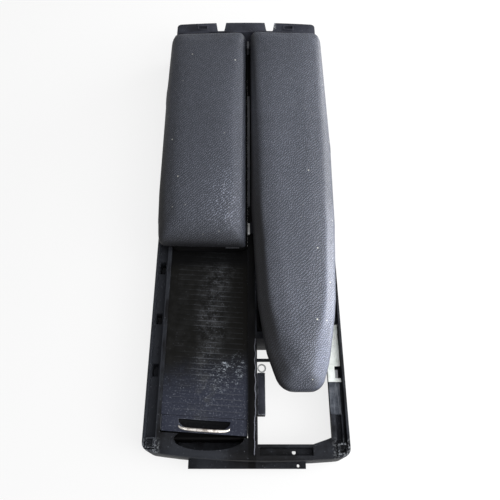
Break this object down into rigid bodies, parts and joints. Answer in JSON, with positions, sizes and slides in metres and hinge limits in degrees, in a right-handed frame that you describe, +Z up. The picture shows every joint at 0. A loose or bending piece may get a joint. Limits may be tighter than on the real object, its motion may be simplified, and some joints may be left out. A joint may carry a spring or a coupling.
{
  "type": "center console armrest",
  "caption": "Console top with two padded lids that open outwards, a long one and a short one, a ribbed sliding shutter over a cup bin, and a through opening beside it.",
  "frame": {"origin": "under the middle of the part, on the plane of the frame's bottom edge", "axes": "+X to the right of the car, +Y towards the rear of the car, +Z up"},
  "size_m": [0.2147, 0.618, 0.082],
  "materials": {
    "black_plastic": "fine moulded grain, scuffed on its edges",
    "bracket_plastic": "smooth moulded, worn at the notches",
    "bin_plastic": "moulded, plain",
    "shutter_plastic": "ribbed, satin, dusty and scuffed",
    "pad_leather": "pebbled charcoal leather over foam",
    "liner_felt": "flocked felt",
    "mat_rubber": "matte rubber",
    "hinge_steel": "zinc plated",
    "grey_plastic": "plain grey",
    "label_foam": "pale closed-cell foam",
    "chrome": "bright plated"
  },
  "bodies": {
    "frame": {"console_frame": "black_plastic", "rear_bracket": "bracket_plastic", "bracket_screw_1": "hinge_steel", "bracket_screw_2": "hinge_steel", "bracket_screw_3": "hinge_steel", "cup_bin": "bin_plastic", "cup_bin_mat": "mat_rubber", "cup_plate": "bin_plastic", "right_bin": "bin_plastic", "right_bin_mat": "mat_rubber", "left_tray": "bin_plastic", "left_tray_mat": "mat_rubber", "left_rear_bumper": "mat_rubber", "left_front_bumper": "mat_rubber", "right_rear_bumper": "mat_rubber", "right_front_bumper": "mat_rubber", "latch_striker": "hinge_steel", "spine_strip": "grey_plastic", "centre_rest": "grey_plastic", "label_pad": "label_foam", "felt_pad": "liner_felt", "side_box": "black_plastic", "side_ring": "hinge_steel", "left_front_hinge_leaf": "hinge_steel", "left_front_hinge_screw": "hinge_steel", "left_front_hinge_pin": "hinge_steel", "left_rear_hinge_leaf": "hinge_steel", "left_rear_hinge_screw": "hinge_steel", "left_rear_hinge_pin": "hinge_steel", "left_rear_hinge_spring": "hinge_steel", "right_front_hinge_leaf": "hinge_steel", "right_front_hinge_screw": "hinge_steel", "right_front_hinge_pin": "hinge_steel", "right_rear_hinge_leaf": "hinge_steel", "right_rear_hinge_screw": "hinge_steel", "right_rear_hinge_pin": "hinge_steel", "right_rear_hinge_spring": "hinge_steel"},
    "left_lid": {"left_lid_base": "black_plastic", "left_lid_liner": "liner_felt", "left_lid_pad": "pad_leather"},
    "right_lid": {"right_lid_base": "black_plastic", "right_lid_liner": "liner_felt", "right_lid_pad": "pad_leather"},
    "left_button": {"left_latch_button": "grey_plastic"},
    "right_button": {"right_latch_button": "grey_plastic"},
    "shutter": {"shutter_curtain": "shutter_plastic", "shutter_bar": "shutter_plastic", "shutter_left_shoe": "grey_plastic", "shutter_right_shoe": "grey_plastic", "shutter_handle": "chrome"}
  },
  "joints": [
    {"name": "left_lid_hinge", "type": "hinge", "parent": "frame", "child": "left_lid", "pos_m": [-0.1015, 0, 0.052], "axis": [0, -1, 0], "range_deg": [0, 85]},
    {"name": "right_lid_hinge", "type": "hinge", "parent": "frame", "child": "right_lid", "pos_m": [0.1015, 0, 0.052], "axis": [0, 1, 0], "range_deg": [0, 85]},
    {"name": "shutter_slide", "type": "slide", "parent": "frame", "child": "shutter", "axis": [0, 1, 0], "range_m": [0, 0.17]},
    {"name": "left_latch_press", "type": "slide", "parent": "left_lid", "child": "left_button", "axis": [0, 1, 0], "range_m": [0, 0.0025], "stiffness_N_per_m": 300},
    {"name": "right_latch_press", "type": "slide", "parent": "right_lid", "child": "right_button", "axis": [1, 0, 0], "range_m": [0, 0.0025], "stiffness_N_per_m": 300}
  ]
}
